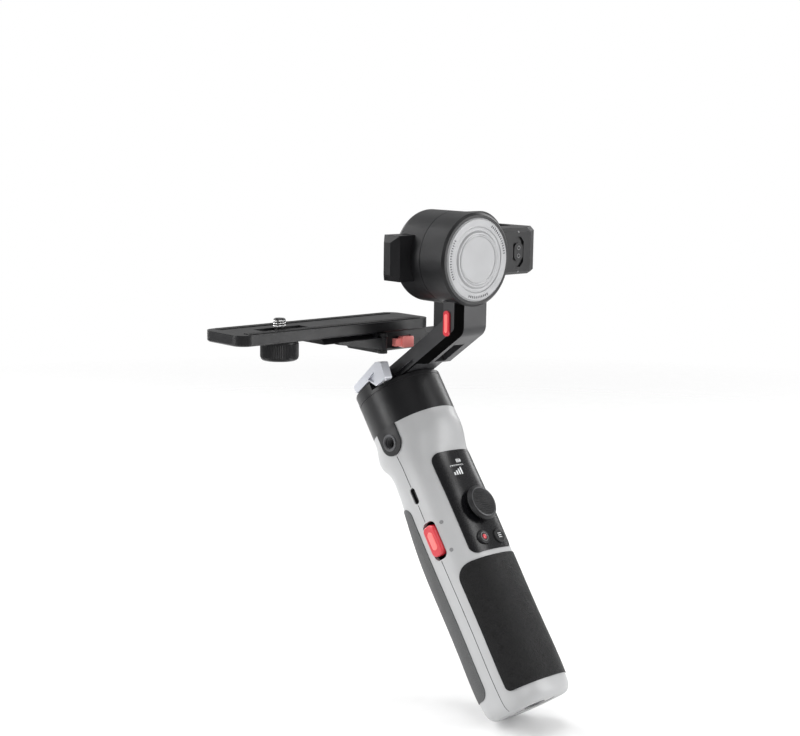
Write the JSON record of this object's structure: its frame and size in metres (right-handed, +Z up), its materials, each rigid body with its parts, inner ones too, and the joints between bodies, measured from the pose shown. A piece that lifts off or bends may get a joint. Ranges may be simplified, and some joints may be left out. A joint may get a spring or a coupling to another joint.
{
  "type": "handheld three-axis camera gimbal",
  "caption": "Handheld three-axis camera stabiliser: leaning grip with controls, pan, roll and tilt motors on sliding arms, and a camera plate in a lever clamp.",
  "frame": {"origin": "mouth of the tripod socket, at the centre of the handle's lower end", "axes": "+Z up with the camera plate level, +Y towards the camera's subject, +X to the right seen from behind; the handle leans forward 35.7 degrees from +Z"},
  "size_m": [0.191, 0.1503, 0.2647],
  "materials": {
    "grey_shell": "fine satin",
    "black_rubber": "fine leather grain",
    "grey_rubber": "fine matte",
    "gloss_panel": "gloss",
    "black_plastic": "satin",
    "red_plastic": "satin",
    "black_metal": "satin black anodised",
    "silver_metal": "satin silver",
    "brass": "machined, nickel plated",
    "steel": "machined",
    "magnet": "nickel plated",
    "copper": "enamelled wire",
    "circuit_board": "solder mask",
    "cell_wrap": "shrink wrapped"
  },
  "bodies": {
    "handle": {"front_shell": "grey_shell", "rear_shell": "grey_shell", "rear_grip_pad": "black_rubber", "front_grip_pad": "grey_rubber", "control_panel": "gloss_panel", "display_module": "black_plastic", "main_board": "circuit_board", "battery_cells": "cell_wrap", "battery_carrier": "black_plastic", "usb_port": "steel", "side_boss": "black_plastic", "accessory_insert": "brass", "base_plate": "black_plastic", "tripod_insert": "brass", "case_screws": "steel", "joystick_base": "black_plastic", "tact_switches": "circuit_board", "pan_housing": "black_metal", "pan_stator": "steel", "pan_coils": "copper", "pan_bearings": "steel"},
    "stick_ring": {"joystick_ring": "black_plastic"},
    "stick": {"joystick": "black_plastic"},
    "record_button": {"record_button": "black_plastic"},
    "menu_button": {"menu_button": "black_plastic"},
    "zoom_rocker": {"zoom_rocker": "red_plastic"},
    "pan_hub": {"pan_rotor": "black_metal", "pan_magnets": "magnet", "pan_shaft": "steel", "arm_saddle": "black_metal", "lever_pin": "steel"},
    "balance_lever": {"balance_lever": "silver_metal"},
    "pan_arm": {"pan_arm": "black_metal", "roll_cap": "silver_metal", "roll_housing": "black_metal", "roll_stator": "steel", "roll_coils": "copper", "roll_bearings": "steel"},
    "roll_lock": {"roll_lock_slider": "red_plastic"},
    "roll_hub": {"roll_rotor": "black_metal", "roll_magnets": "magnet", "roll_shaft": "steel"},
    "roll_arm": {"roll_arm": "black_metal", "tilt_housing": "black_metal", "tilt_stator": "steel", "tilt_coils": "copper", "tilt_bearings": "steel"},
    "tilt_lock": {"tilt_lock_slider": "black_plastic"},
    "tilt_arm": {"tilt_rotor": "black_metal", "tilt_magnets": "magnet", "tilt_shaft": "steel", "tilt_arm": "black_metal", "clamp_base": "black_metal", "clamp_pin": "steel"},
    "clamp_lever": {"clamp_lever": "black_metal"},
    "safety_button": {"safety_button": "red_plastic"},
    "camera_plate": {"camera_plate": "black_metal", "plate_pads": "black_rubber"},
    "screw_collar": {"screw_collar": "steel"},
    "camera_screw": {"camera_screw": "black_metal"}
  },
  "joints": [
    {"name": "stick_fore_aft", "type": "hinge", "parent": "handle", "child": "stick_ring", "pos_m": [0.00113, 0.05291, 0.09238], "axis": [0.9947, 0.0835, -0.06], "range_deg": [-7.5, 7.5], "stiffness_Nm_per_rad": 0.02},
    {"name": "stick_side_to_side", "type": "hinge", "parent": "stick_ring", "child": "stick", "pos_m": [0.00113, 0.05291, 0.09238], "axis": [0, 0.5835, 0.8121], "range_deg": [-7.5, 7.5], "stiffness_Nm_per_rad": 0.02},
    {"name": "record_press", "type": "slide", "parent": "handle", "child": "record_button", "axis": [-0.1028, 0.8078, -0.5804], "range_m": [0, 0.0005], "stiffness_N_per_m": 800},
    {"name": "menu_press", "type": "slide", "parent": "handle", "child": "menu_button", "axis": [-0.1028, 0.8078, -0.5804], "range_m": [0, 0.0005], "stiffness_N_per_m": 800},
    {"name": "rocker_tilt", "type": "hinge", "parent": "handle", "child": "zoom_rocker", "pos_m": [-0.01999, 0.05364, 0.07991], "axis": [-0.1028, 0.8078, -0.5804], "range_deg": [-3.5, 3.5], "stiffness_Nm_per_rad": 0.1},
    {"name": "pan_turn", "type": "hinge", "parent": "handle", "child": "pan_hub", "pos_m": [0, 0.10691, 0.14877], "axis": [0, 0.5835, 0.8121], "continuous": true},
    {"name": "balance_lever_swing", "type": "hinge", "parent": "pan_hub", "child": "balance_lever", "pos_m": [-0.0206, 0.09983, 0.16223], "axis": [0, 0.5835, 0.8121], "range_deg": [0, 75]},
    {"name": "pan_arm_slide", "type": "slide", "parent": "pan_hub", "child": "pan_arm", "axis": [0, -0.8121, 0.5835], "range_m": [0, 0.014]},
    {"name": "roll_lock_slide", "type": "slide", "parent": "pan_arm", "child": "roll_lock", "axis": [0, 0, -1], "range_m": [0, 0.0028]},
    {"name": "roll_turn", "type": "hinge", "parent": "pan_arm", "child": "roll_hub", "pos_m": [0, 0.0668, 0.2273], "axis": [0, 1, 0], "range_deg": [-8, 20]},
    {"name": "roll_arm_slide", "type": "slide", "parent": "roll_hub", "child": "roll_arm", "axis": [1, 0, 0], "range_m": [0, 0.012]},
    {"name": "tilt_lock_slide", "type": "slide", "parent": "roll_arm", "child": "tilt_lock", "axis": [0, 0, 1], "range_m": [-0.0026, 0.0026]},
    {"name": "tilt_turn", "type": "hinge", "parent": "roll_arm", "child": "tilt_arm", "pos_m": [0.056, 0.118, 0.2273], "axis": [1, 0, 0], "range_deg": [-10, 95]},
    {"name": "clamp_lever_swing", "type": "hinge", "parent": "tilt_arm", "child": "clamp_lever", "pos_m": [-0.022, 0.0978, 0.1795], "axis": [0, 0, 1], "range_deg": [0, 80]},
    {"name": "safety_press", "type": "slide", "parent": "tilt_arm", "child": "safety_button", "axis": [0, 1, 0], "range_m": [0, 0.001], "stiffness_N_per_m": 600},
    {"name": "plate_slide", "type": "slide", "parent": "tilt_arm", "child": "camera_plate", "axis": [1, 0, 0], "range_m": [-0.015, 0.006]},
    {"name": "screw_slide", "type": "slide", "parent": "camera_plate", "child": "screw_collar", "axis": [1, 0, 0], "range_m": [-0.009, 0.005]},
    {"name": "screw_turn", "type": "hinge", "parent": "screw_collar", "child": "camera_screw", "pos_m": [-0.0803, 0.1125, 0.1853], "axis": [0, 0, 1], "continuous": true}
  ]
}
